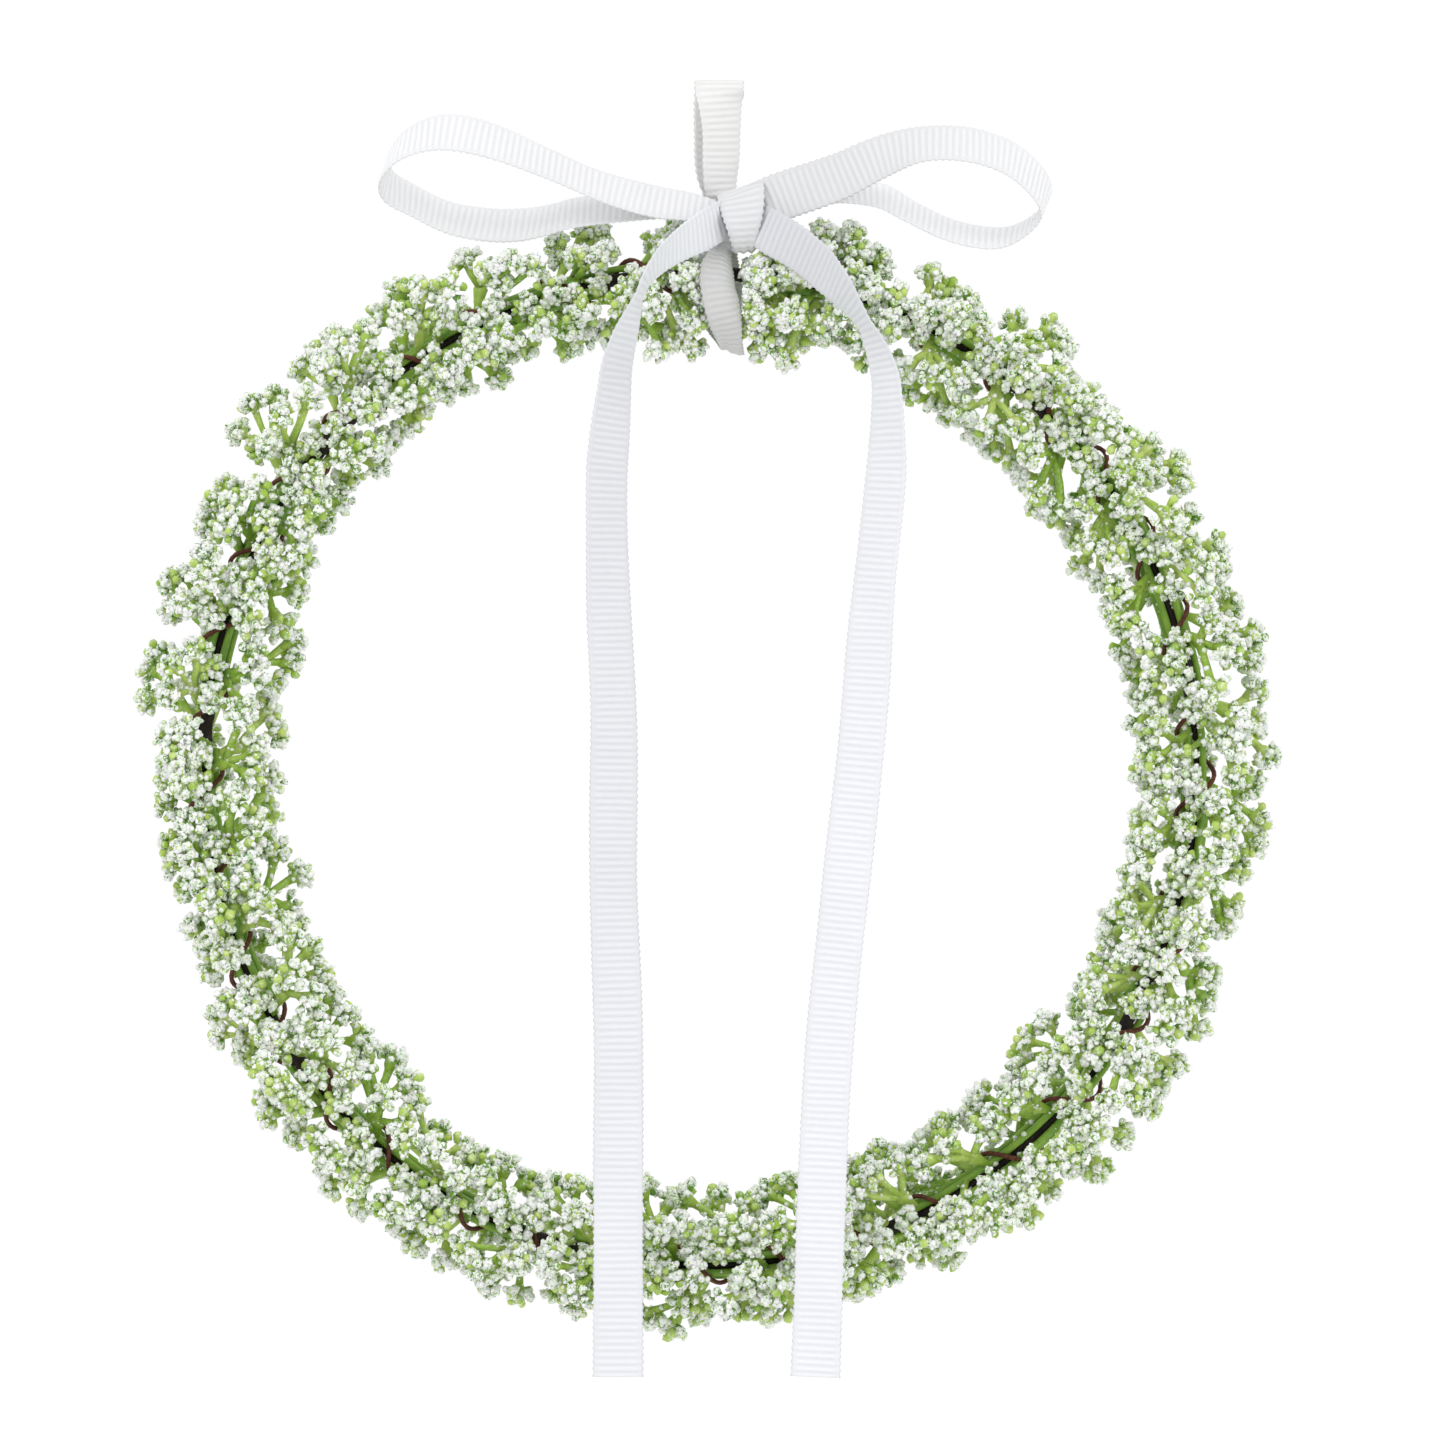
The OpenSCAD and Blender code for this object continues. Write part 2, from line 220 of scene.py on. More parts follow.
class Nodes:
    """Writes a node tree with short calls."""

    def __init__(self, tree):
        self.tree = tree

    def put(self, socket, value):
        if isinstance(value, bpy.types.NodeSocket):
            self.tree.links.new(value, socket)
        else:
            socket.default_value = value

    def add(self, kind, values=None, **settings):
        node = self.tree.nodes.new(kind)
        for name, value in settings.items():
            setattr(node, name, value)
        for name, value in (values or {}).items():
            self.put(node.inputs[name], value)
        return node

    def math(self, kind, *values):
        node = self.add("ShaderNodeMath", operation=kind)
        for socket, value in zip(node.inputs, values):
            self.put(socket, value)
        return node.outputs[0]

    def plus(self, a, b):
        return self.math("ADD", a, b)

    def times(self, a, b):
        return self.math("MULTIPLY", a, b)

    def combined(self, x, y, z):
        return self.add("ShaderNodeCombineXYZ", {"X": x, "Y": y, "Z": z}).outputs[0]

    def scaled(self, vector, by):
        node = self.add("ShaderNodeVectorMath", {"Scale": by}, operation="SCALE")
        self.put(node.inputs[0], vector)
        return node.outputs[0]

    def fit(self, value, low, high, to_low=0.0, to_high=1.0, kind="SMOOTHSTEP"):
        node = self.add("ShaderNodeMapRange", interpolation_type=kind)
        for socket, v in zip(node.inputs, (value, low, high, to_low, to_high)):
            self.put(socket, v)
        return node.outputs[0]

    def noise(self, scale, detail=2.0, at=None, roughness=0.5):
        node = self.add("ShaderNodeTexNoise", {"Scale": scale, "Detail": detail, "Roughness": roughness})
        if at is not None:
            self.put(node.inputs["Vector"], at)
        return node.outputs[0]


class Growth(Nodes):
    """A Geometry Nodes tree with named inputs."""

    def __init__(self, name, **inputs):
        super().__init__(bpy.data.node_groups.new(name, "GeometryNodeTree"))
        face = self.tree.interface
        face.new_socket("Geometry", in_out="INPUT", socket_type="NodeSocketGeometry")
        face.new_socket("Geometry", in_out="OUTPUT", socket_type="NodeSocketGeometry")
        for label, value in inputs.items():
            kind = {float: "Float", int: "Int"}.get(type(value), "Material")
            socket = face.new_socket(label.replace("_", " "), in_out="INPUT", socket_type="NodeSocket" + kind)
            if value is not None:
                socket.default_value = value
        entry = self.add("NodeGroupInput")
        self.inputs = {s.name: s for s in entry.outputs}
        self.geometry = self.inputs["Geometry"]

    def read(self, name, kind="FLOAT"):
        node = self.add("GeometryNodeInputNamedAttribute", {"Name": name}, data_type=kind)
        return node.outputs[0]

    def keep(self, geometry, name, value, domain="POINT"):
        node = self.add("GeometryNodeStoreNamedAttribute",
                        {"Geometry": geometry, "Name": name, "Value": value}, domain=domain)
        return node.outputs[0]

    def random(self, low, high, seed, kind="FLOAT"):
        """A random value. The node has a pair of inputs and an output for each kind."""
        node = self.add("FunctionNodeRandomValue", {"Seed": seed}, data_type=kind)
        low_at, high_at, out_at = {"FLOAT": (2, 3, 1), "FLOAT_VECTOR": (0, 1, 0)}[kind]
        self.put(node.inputs[low_at], low)
        self.put(node.inputs[high_at], high)
        return node.outputs[out_at]

    def moved(self, geometry, **how):
        return self.add("GeometryNodeSetPosition", {"Geometry": geometry, **how}).outputs[0]

    def end(self, geometry):
        """Realize Instances, smooth shading and Set Material close every tree."""
        real = self.add("GeometryNodeRealizeInstances", {"Geometry": geometry}).outputs[0]
        smooth = self.add("GeometryNodeSetShadeSmooth", {"Geometry": real}).outputs[0]
        done = self.add("GeometryNodeSetMaterial", {"Geometry": smooth, "Material": self.inputs["Material"]})
        out = self.add("NodeGroupOutput")
        self.tree.links.new(done.outputs[0], out.inputs[0])


def grow(obj, growth, **inputs):
    """Runs a tree on a piece and keeps the result as the piece's plain mesh."""
    modifier = obj.modifiers.new(growth.tree.name, "NODES")
    modifier.node_group = growth.tree
    names = {i.name: i.identifier for i in growth.tree.interface.items_tree if i.in_out == "INPUT"}
    for label, value in inputs.items():
        modifier[names[label.replace("_", " ")]] = value
    bpy.context.view_layer.update()
    graph = bpy.context.evaluated_depsgraph_get()
    grown = obj.evaluated_get(graph)
    mesh = bpy.data.meshes.new_from_object(grown, preserve_all_data_layers=True, depsgraph=graph)
    obj.modifiers.remove(modifier)
    mesh.name = obj.name
    obj.data = mesh
    return obj


# ---------------------------------------------------------------- materials


def material(name, **sockets):
    """A material with its plain values set on the shader's own sockets."""
    made = bpy.data.materials.new(name)
    made.use_nodes = True
    nodes = Nodes(made.node_tree)
    shader = made.node_tree.nodes["Principled BSDF"]
    for key, value in sockets.items():
        shader.inputs[key.replace("_", " ")].default_value = value
    return made, nodes, shader


def ramp(nodes, value, stops):
    node = nodes.add("ShaderNodeValToRGB", {"Fac": value})
    bar = node.color_ramp.elements
    while len(bar) < len(stops):
        bar.new(0.5)
    for element, (place, colour) in zip(bar, stops):
        element.position = place
        element.color = (*colour, 1)
    return node.outputs[0]


def paint(nodes, shader, value, stops):
    nodes.put(shader.inputs["Base Color"], ramp(nodes, value, stops))


def attribute(nodes, name):
    return nodes.add("ShaderNodeAttribute", attribute_name=name).outputs["Fac"]


def object_place(nodes):
    return nodes.add("ShaderNodeTexCoord").outputs["Object"]


def bump(nodes, shader, height, strength, distance):
    node = nodes.add("ShaderNodeBump", {"Height": height, "Strength": strength, "Distance": distance})
    nodes.put(shader.inputs["Normal"], node.outputs[0])


# Spacing of the ribs, crossings of fine thread from a ribbon's middle to its edge, and length of its twill.
RIB = 1.42
THREADS = 26
TWILL = 0.34


def ribbon_material(name, ground, painted_highlight_colour):
    """White grosgrain: ribs across with a painted highlight on their tops, painted shade and light along the
    piece, plain selvages, fine threads, a soft sheen.
    """
    made, nodes, shader = material(name, Roughness=0.75, Sheen_Weight=0.2, Sheen_Roughness=0.5,
                                   Specular_IOR_Level=0.3)
    place = object_place(nodes)
    # Painted highlight on the rib tops: they take the lighter colour, and the valleys keep the darker ground.
    painted_highlight_share = nodes.times(nodes.math("POWER", attribute(nodes, "rib"), 2.0), 0.56)
    mottle = nodes.plus(nodes.times(nodes.noise(90.0, 2.0, place), 0.22),
                        nodes.times(nodes.noise(900.0, 2.0, place), 0.16))
    cloth = ramp(nodes, nodes.plus(painted_highlight_share, mottle), [(0.12, ground), (0.85, painted_highlight_colour)])
    # Painted shade and light: a high shading value darkens the cloth, and one below zero brightens it.
    shade = nodes.fit(attribute(nodes, "grey"), -0.5, 1.0, 1.12, 0.7, "LINEAR")
    nodes.put(shader.inputs["Base Color"], nodes.scaled(cloth, shade))
    thread = nodes.math("SINE", nodes.times(attribute(nodes, "across"), 2 * math.pi * THREADS))
    twill = nodes.math("SINE", nodes.times(attribute(nodes, "along"), 2 * math.pi / (TWILL * MM)))
    fine = nodes.times(nodes.noise(4200.0, 2.0, place), 1.4)
    bump(nodes, shader, nodes.plus(nodes.times(thread, twill), fine), 0.15, 0.00003)
    return made


# Each finish gives the cloth's ground colour, then the colour of the painted highlight on the rib tops. The
# first finish, for the tails, is a darker and bluer copy of the same white cloth, as painted shade.
WHITE_SHADED = ribbon_material("grosgrain_shaded", (0.72, 0.73, 0.77), (0.84, 0.845, 0.875))
WHITE_PLAIN = ribbon_material("grosgrain_white", (0.76, 0.765, 0.785), (0.89, 0.89, 0.9))
WHITE_WARM = ribbon_material("grosgrain_warm", (0.775, 0.775, 0.77), (0.895, 0.895, 0.885))


# A Mix node's sockets for a colour mix: its share and its two colours, then its result.
COLOUR_MIX_INPUTS = (0, 6, 7)
COLOUR_MIX_OUTPUT = 2


def green_material():
    """Soft plastic from mid green to lime, a different tint on each bud, under a crust of fine frost."""
    made, nodes, shader = material("sprig_green", Roughness=0.42, Subsurface_Weight=0.2,
                                   Subsurface_Scale=0.0015, Subsurface_Radius=(0.6, 1.0, 0.3),
                                   Specular_IOR_Level=0.45)
    place = object_place(nodes)
    patch = nodes.times(nodes.math("SUBTRACT", nodes.noise(260.0, 3.0, place), 0.5), 0.7)
    green = ramp(nodes, nodes.plus(attribute(nodes, "tint"), patch), [
        (0.0, (0.06, 0.16, 0.014)), (0.35, (0.15, 0.32, 0.035)),
        (0.7, (0.31, 0.49, 0.05)), (1.0, (0.54, 0.68, 0.17))])
    grain = nodes.noise(1500.0, 4.0, place, 0.6)
    wear = nodes.times(attribute(nodes, "frost"), attribute(nodes, "cover"))
    grains = nodes.fit(nodes.plus(grain, nodes.times(wear, 0.16)), 0.57, 0.62)
    crust = nodes.times(grains, nodes.fit(wear, 0.05, 0.5))
    mixed = nodes.add("ShaderNodeMix", data_type="RGBA")
    share, under, over = (mixed.inputs[at] for at in COLOUR_MIX_INPUTS)
    nodes.put(share, crust)
    nodes.put(under, green)
    nodes.put(over, (0.88, 0.93, 0.86, 1))
    nodes.put(shader.inputs["Base Color"], mixed.outputs[COLOUR_MIX_OUTPUT])
    bump(nodes, shader, nodes.plus(grain, nodes.times(crust, 0.6)), 0.4, 0.00015)
    return made


def frost_material():
    """Frosted white beads: waxy, a little see-through, some with green coming through."""
    made, nodes, shader = material("frost_white", Roughness=0.36, Subsurface_Weight=0.35,
                                   Subsurface_Scale=0.0008, Subsurface_Radius=(0.8, 1.0, 0.7),
                                   Specular_IOR_Level=0.5, Coat_Weight=0.15, Coat_Roughness=0.25)
    place = object_place(nodes)
    cloud = nodes.times(nodes.noise(900.0, 2.0, place), 0.2)
    paint(nodes, shader, nodes.plus(attribute(nodes, "tint"), cloud), [
        (0.05, (0.5, 0.68, 0.36)), (0.3, (0.84, 0.91, 0.79)), (0.5, (0.97, 0.98, 0.96))])
    bump(nodes, shader, nodes.noise(2600.0, 3.0, place), 0.3, 0.0001)
    return made


def tape_material():
    """Dark crepe tape: stretched paper creases across each wrap, a dull wax shine on the ridges."""
    made, nodes, shader = material("crepe_tape", Specular_IOR_Level=0.3)
    worn = nodes.noise(700.0, 4.0, object_place(nodes), 0.6)
    lay = nodes.combined(nodes.times(attribute(nodes, "along"), 5200.0),
                         nodes.times(attribute(nodes, "turn"), 2.0), 0.0)
    crease = nodes.noise(1.0, 3.0, lay)
    tone = nodes.plus(nodes.times(worn, 0.6), nodes.times(crease, 0.4))
    paint(nodes, shader, tone, [
        (0.3, (0.008, 0.006, 0.006)), (0.55, (0.022, 0.014, 0.012)), (0.8, (0.07, 0.045, 0.036))])
    nodes.put(shader.inputs["Roughness"], nodes.fit(tone, 0.3, 0.8, 0.8, 0.5))
    bump(nodes, shader, crease, 0.5, 0.0002)
    return made


def paper_wire_material():
    """Red-brown paper wound round a thin wire."""
    made, nodes, shader = material("paper_wire", Roughness=0.72, Specular_IOR_Level=0.3)
    fibre = nodes.noise(1500.0, 4.0, object_place(nodes), 0.65)
    paint(nodes, shader, fibre, [
        (0.3, (0.07, 0.022, 0.014)), (0.55, (0.15, 0.048, 0.03)), (0.8, (0.27, 0.11, 0.075))])
    bump(nodes, shader, fibre, 0.5, 0.0001)
    return made


def steel_material():
    """Drawn steel wire, dull, with finely varied brightness."""
    made, nodes, shader = material("drawn_steel", Metallic=1.0, Specular_IOR_Level=0.5)
    dull = nodes.noise(1200.0, 4.0, object_place(nodes))
    paint(nodes, shader, dull, [(0.3, (0.32, 0.32, 0.33)), (0.7, (0.5, 0.5, 0.52))])
    nodes.put(shader.inputs["Roughness"], nodes.fit(dull, 0.2, 0.8, 0.3, 0.55))
    bump(nodes, shader, dull, 0.2, 0.00005)
    return made


GREEN = green_material()
FROST = frost_material()
TAPE = tape_material()
PAPER = paper_wire_material()
STEEL = steel_material()


# ---------------------------------------------------------------- growth trees


def rib_growth():
    """Raises the ribs of a grosgrain ribbon, its flat selvages and their tiny picots."""
    g = Growth("grosgrain_ribs", Rib_Spacing=RIB * MM, Rib_Height=0.0002, Selvage=0.17, Picot=0.0002,
               Material=None)
    across = g.math("ABSOLUTE", g.read("across"))
    wander = g.times(g.noise(160.0, 1.0), 0.25 * RIB * MM)
    ribs_passed = g.math("DIVIDE", g.plus(g.read("along"), wander), g.inputs["Rib Spacing"])
    rib = g.math("ABSOLUTE", g.math("SINE", g.times(ribs_passed, math.pi)))
    inner = g.math("SUBTRACT", 1.0, g.inputs["Selvage"])
    edge = g.fit(across, g.math("SUBTRACT", inner, 0.05), g.plus(inner, 0.01))
    body = g.times(rib, g.math("SUBTRACT", 1.0, edge))
    plait = g.times(g.plus(0.3, g.times(rib, 0.4)), edge)
    shape = g.plus(body, plait)
    picot = g.times(g.math("POWER", rib, 3.0), g.inputs["Picot"])
    tip = g.times(g.fit(across, 0.96, 1.0), picot)
    height = g.plus(g.times(shape, g.inputs["Rib Height"]), tip)
    push = g.scaled(g.add("GeometryNodeInputNormal").outputs[0], height)
    g.end(g.moved(g.keep(g.geometry, "rib", shape), Offset=push))
    return g


def wrap_growth():
    """Gives a tube the stepped edges and creases of a strip wound round it."""
    g = Growth("spiral_wraps", Wrap=0.0065, Step=0.0003, Crease=0.00012, Crease_Scale=900.0, Material=None)
    turns = g.plus(g.math("DIVIDE", g.read("along"), g.inputs["Wrap"]),
                   g.math("DIVIDE", g.read("turn"), 2 * math.pi))
    lap = g.math("SUBTRACT", 1.0, g.math("FRACT", turns))
    creases = g.times(g.noise(g.inputs["Crease Scale"], 3.0), g.inputs["Crease"])
    height = g.plus(g.times(g.math("POWER", lap, 2.0), g.inputs["Step"]), creases)
    push = g.scaled(g.add("GeometryNodeInputNormal").outputs[0], height)
    g.end(g.moved(g.geometry, Offset=push))
    return g


ANY_TURN = 6.28


def bud_growth():
    """Sets a lumpy bud on each loose point of a sprig, turned along the point's aim."""
    g = Growth("buds", Seed=1, Material=None)
    size = g.read("size")
    is_bud = g.math("GREATER_THAN", size, 0.0)
    bud = g.add("GeometryNodeMeshUVSphere", {"Segments": 6, "Rings": 5, "Radius": 1.0}).outputs["Mesh"]
    place = g.add("GeometryNodeInputPosition").outputs[0]
    x, y, z = g.add("ShaderNodeSeparateXYZ", {"Vector": place}).outputs
    girth = g.fit(z, -1.0, 0.6, 0.6, 1.08, "LINEAR")
    shape = g.combined(g.times(x, girth), g.times(y, girth), g.times(z, 1.15))
    lumps = g.scaled(shape, g.fit(g.noise(1.7, 1.0), 0.3, 0.7, 0.86, 1.14))
    bud = g.moved(g.keep(bud, "frost", g.fit(z, -0.75, 0.35)), Position=lumps)
    aim = g.add("FunctionNodeAlignRotationToVector", {"Vector": g.read("aim", "FLOAT_VECTOR")}, axis="Z")
    twist = g.add("FunctionNodeAxisAngleToRotation", {"Angle": g.random(0.0, ANY_TURN, g.inputs["Seed"])})
    spin = g.add("FunctionNodeRotateRotation", {"Rotation": aim.outputs[0], "Rotate By": twist.outputs[0]},
                 rotation_space="LOCAL")
    stretch = g.combined(size, size, g.times(size, g.random(0.95, 1.35, seed=5)))
    buds = g.add("GeometryNodeInstanceOnPoints", {
        "Points": g.geometry, "Selection": is_bud, "Instance": bud,
        "Rotation": spin.outputs[0], "Scale": stretch}).outputs[0]
    buds = g.add("GeometryNodeRealizeInstances", {"Geometry": buds}).outputs[0]
    stems = g.add("GeometryNodeDeleteGeometry", {"Geometry": g.geometry, "Selection": is_bud}).outputs[0]
    both = g.add("GeometryNodeJoinGeometry")
    g.tree.links.new(stems, both.inputs[0])
    g.tree.links.new(buds, both.inputs[0])
    g.end(both.outputs[0])
    return g


def frost_growth():
    """Scatters small irregular beads over a sprig, thickest where its frost value is high."""
    g = Growth("frost_beads", Density=715000.0, Smallest=0.00027, Largest=0.00074, Seed=1, Material=None)
    frost = g.times(g.read("frost"), g.read("cover"))
    points = g.add("GeometryNodeDistributePointsOnFaces", {
        "Mesh": g.geometry, "Density": g.times(g.inputs["Density"], frost),
        "Seed": g.inputs["Seed"]}, distribute_method="RANDOM").outputs[0]
    bead = g.add("GeometryNodeMeshIcoSphere", {"Radius": 1.0, "Subdivisions": 1}).outputs["Mesh"]
    place = g.add("GeometryNodeInputPosition").outputs[0]
    uneven = g.scaled(place, g.fit(g.noise(2.1, 1.0), 0.3, 0.7, 0.72, 1.28, "LINEAR"))
    bead = g.moved(bead, Position=uneven)
    luck = g.math("POWER", g.random(0.0, 1.0, g.inputs["Seed"]), 1.9)
    spread = g.math("SUBTRACT", g.inputs["Largest"], g.inputs["Smallest"])
    size = g.plus(g.inputs["Smallest"], g.times(luck, spread))
    shape = g.random((0.8, 0.8, 0.65), (1.2, 1.2, 1.0), seed=7, kind="FLOAT_VECTOR")
    spin = g.random((0.0, 0.0, 0.0), (ANY_TURN, ANY_TURN, ANY_TURN), seed=9, kind="FLOAT_VECTOR")
    beads = g.add("GeometryNodeInstanceOnPoints", {
        "Points": points, "Instance": bead, "Rotation": spin, "Scale": g.scaled(shape, size)}).outputs[0]
    g.end(g.keep(beads, "tint", g.random(0.0, 1.0, seed=3), "INSTANCE"))
    return g


RIBS = rib_growth()
WRAPS = wrap_growth()
BUDS = bud_growth()
BEADS = frost_growth()


# ---------------------------------------------------------------- ribbons


def curve(stations, cuts=30):
    """A smooth curve through stations of any width, as in the parts."""
    p = np.array(stations, float)
    t = np.arange(cuts)[:, None] / cuts
    out = []
    for i in range(len(p) - 1):
        a, b, c, d = p[max(i - 1, 0)], p[i], p[i + 1], p[min(i + 2, len(p) - 1)]
        line = 2 * b + (c - a) * t
        out.append(0.5 * (line + (2 * a - 5 * b + 4 * c - d) * t**2 + (3 * b - a - 3 * c + d) * t**3))
    return np.vstack([*out, p[-1:]])


def evened(points, step):
    """The same curve cut at even lengths, and its whole length."""
    run = np.concatenate([[0], np.cumsum(np.linalg.norm(np.diff(points[:, :3], axis=0), axis=1))])
    at = np.linspace(0, run[-1], round(run[-1] / step) + 1)
    return np.column_stack([np.interp(at, run, column) for column in points.T]), run[-1]


# Places across a ribbon, as shares of its half width, closest together at its selvages.
SECTION = np.array([-1, -0.97, -0.91, -0.84, -0.76, -0.4, 0, 0.4, 0.76, 0.84, 0.91, 0.97, 1])
CLOTH_T = 0.34
CUTS_PER_RIB = 7
ROLL_LENGTH = 6.1
SWELL_LENGTH = 9.7
FOLD_FROM = 0.32


def ribbon(name, stations, finish, seed=0, ripple=0.12, painted_shading_stops=((0, 0), (1, 0))):
    """A grosgrain ribbon through stations: x, y, height over the ring's top, turn and lean of its
    width, share of its full width where it is gathered, and how far one side is folded back.
    The last argument gives shares of its length and the painted shading there: 0 leaves the cloth its plain
    white, above 0 darkens it as painted shade, below 0 brightens it as painted light."""
    line, length = evened(curve(stations), RIB / CUTS_PER_RIB)
    place = line[:, :3] - np.array([0, 0, HANG_H])
    turn, lean = np.radians(line[:, 3]), np.radians(line[:, 4])
    wide, folded = line[:, 5:6], line[:, 6:7]
    width = RIBBON_W / 2 * wide * np.column_stack(
        [np.cos(lean) * np.cos(turn), np.sin(lean), np.cos(lean) * np.sin(turn)])
    t = unit(np.gradient(place, axis=0))
    width = width - (width * t).sum(1, keepdims=True) * t
    face = unit(np.cross(t, width))
    along = np.linspace(0, length, len(line))
    u = SECTION
    roll = ripple * np.sin(along / ROLL_LENGTH + seed)[:, None] * u
    swell = ripple * 0.7 * np.sin(along / SWELL_LENGTH + 2 * seed)[:, None]
    gather = 0.5 * (1 - wide) * np.cos(u * 9 + seed)
    lift = roll + swell + gather - folded * np.maximum(0, u - FOLD_FROM)
    half = CLOTH_T / 2 * np.sqrt(np.maximum(0, 1 - np.abs(u) ** 14))
    flat = place[:, None] + width[:, None] * u[None, :, None]
    front = flat + face[:, None] * (lift + half)[..., None]
    rear = flat + face[:, None] * (lift - half)[..., None]
    around = np.concatenate([u, u[-2:0:-1]])
    # Painted shading at each point along the ribbon, read from the stops.
    grey = np.interp(along / length, *np.transpose(painted_shading_stops))
    shell = Shell()
    shell.loft(np.concatenate([front, rear[:, -2:0:-1]], axis=1), strip=True,
               along=np.repeat(along[:, None], len(around), 1) * MM,
               across=np.repeat(around[None], len(line), 0),
               grey=np.repeat(grey[:, None], len(around), 1))
    made = grow(shell.make(name), RIBS, Material=finish)
    made["length"] = length * MM
    return made


# The hanger and sling are one ribbon: up the back, over the eye, down the front, round the bundle.
EYE_R = 3.0
EYE_TOP = HANG_H - 0.3
eye = [[0, -EYE_R * cos(a), EYE_TOP - EYE_R + EYE_R * sin(a), 0, 0, 1, 0]
       for a in range(165, 0, -25)]
HANGER = [
    [1.2, 0.6, 10, 0, 0, 0.6, 0],
    [0.8, 0.6, 14, 0, 0, 0.6, 0],
    [-0.6, 0.9, 17.5, -8, 10, 0.62, 0],
    [-1.0, 1.5, 22, -6, 24, 0.86, 0],
    [-0.9, 2.3, 29, -2, 30, 0.98, 0],
    [-0.5, 2.9, 35.5, 0, 20, 1, 0],
    *eye,
    [0.2, -2.9, 35.5, 0, 26, 0.98, 0],
    [0.45, -2.3, 30, 0, 36, 0.95, 0],
    [0.35, -1.6, 24, 0, 36, 0.92, 0],
    [0.2, -1.0, 19, -6, 30, 0.78, 0],
    [0.6, -0.7, 15, -4, 10, 0.6, 0],
    [1.0, -0.8, 9, -5, 0, 0.5, 0],
    [0.9, -2.4, 5.6, -6, 5, 0.4, 0.8],
    [0.3, -5.6, 3.9, -6, 8, 0.52, 2.2],
    [-0.05, -8.8, 1.4, -6, 10, 0.7, 3.2],
    [-0.05, -11, -2.2, -8, 12, 0.8, 3.2],
    [0.6, -12, -6, -12, 14, 0.86, 2.5],
    [1.2, -11.5, -9.8, -16, 18, 0.82, 1.2],
    [1.7, -9.2, -13, -20, 18, 0.7, 0.4],
    [2.3, -5.2, -15.6, -22, 10, 0.54, 0],
    [2.6, 0, -16.4, -22, 0, 0.52, 0],
    [2.2, 5, -15, -20, 0, 0.6, 0],
    [1.2, 9.4, -11.6, -12, 0, 0.78, 0],
    [0.5, 11.4, -6.5, -6, 0, 0.85, 0],
    [0.5, 10.6, -1.5, 0, 0, 0.85, 0],
    [0.6, 7.6, 2.2, 0, 0, 0.7, 0],
    [0.8, 3.6, 4.6, 0, 0, 0.58, 0],
    [1.1, 1.2, 6.8, 0, 0, 0.58, 0],
    [1.2, 0.6, 9.6, 0, 0, 0.58, 0],
]

LEFT_LOOP = [
    [0.5, -6.5, 12.4, 98, 40, 0.62, 0],
    [-4.5, -6.7, 13.3, 96, 43, 0.8, 0],
    [-9, -6.8, 13.9, 95, 45, 0.92, 0],
    [-15, -7, 15, 95, 45, 1, 0],
    [-25, -8, 18, 95, 45, 1, 0],
    [-36, -11, 22.6, 92, 43, 1, 0],
    [-48, -14, 27.1, 90, 41, 1, 0],
    [-58, -14, 28.8, 86, 40, 1, 0],
    [-66, -11, 26.6, 80, 42, 1, 0],
    [-70.5, -6, 22.2, 78, 45, 1, 0],
    [-70, -2, 18.5, 78, 45, 1, 0],
    [-65, 1.5, 15.5, 80, 45, 1, 0],
    [-57.5, 4, 12, 82, 45, 1, 0],
    [-49, 4, 10.5, 82, 45, 1, 0],
    [-42, 3, 10.5, 82, 45, 1, 0],
    [-36, 1, 11.5, 82, 45, 1, 0],
    [-30, -1, 13, 85, 45, 1, 0],
    [-15, -3, 14.5, 95, 45, 0.95, 0],
    [-8, -3.4, 14.2, 95, 45, 0.85, 0],
    [-1, -3.5, 12.6, 95, 42, 0.62, 0],
]
RIGHT_LOOP = [
    [4.5, -7.8, 12.2, 104, 20, 0.85, 0],
    [9, -9, 14, 108, 12, 1, 0],
    [14, -9, 16, 109, 9, 1, 0],
    [20, -8.8, 18, 109, 12, 1, 0],
    [26, -8.6, 20.2, 108, 19, 1, 0],
    [34, -10, 23.9, 101, 29, 1, 0],
    [42.5, -12.5, 26.5, 92, 39, 1, 0],
    [52, -13, 26.5, 85, 39, 1, 0],
    [60.5, -10.5, 24, 80, 42, 1, 0],
    [66.5, -7, 19.5, 75, 45, 1, 0],
    [69, -3, 15, 70, 48, 1, 0],
    [66.5, 0, 11, 62, 52, 1, 0],
    [61, 2.5, 8, 60, 57, 1, 0],
    [54.5, 3, 8, 58, 57, 1, 0],
    [47.5, 2.5, 9.8, 58, 57, 1, 0],
    [40.5, 1, 13.1, 60, 57, 1, 0],
    [34.5, -0.6, 16.2, 65, 56, 1, 0],
    [27, -2, 17.6, 78, 54, 1, 0],
    [20, -3, 17.2, 86, 50, 0.95, 0],
    [13, -3.5, 15.6, 92, 42, 0.85, 0],
    [6.5, -3.6, 13, 95, 40, 0.62, 0],
]

# Over the crown a tail goes from the knot's face out to the front of the heads. Below them it hangs free
# and curls back.
KNOT_FRONT = 8
FRONT_BAND = 19.32
FOLD_GAP = 0.9
TAIL_FOLD = -25.25
TAIL_END = HANG_H - 272
CURL = 8


def drape(stations):
    """Stations over the crown, from place, share of the way forward, height, turn, lean and width."""
    return [[x, -(mix(KNOT_FRONT, FRONT_BAND, share) + RIBBON_W / 2 * abs(sin(lean))), z, turn, lean, wide, 0]
            for x, share, z, turn, lean, wide in stations]


def hanging(stations):
    """Stations that hang free, from share of the way down, place and lean."""
    fold = -(FRONT_BAND + RIBBON_W / 2 * sin(abs(stations[0][2])))
    return [[x, fold - CURL * share, mix(TAIL_FOLD - FOLD_GAP / 2, TAIL_END, share), 0, lean, 1, 0]
            for share, x, lean in stations]


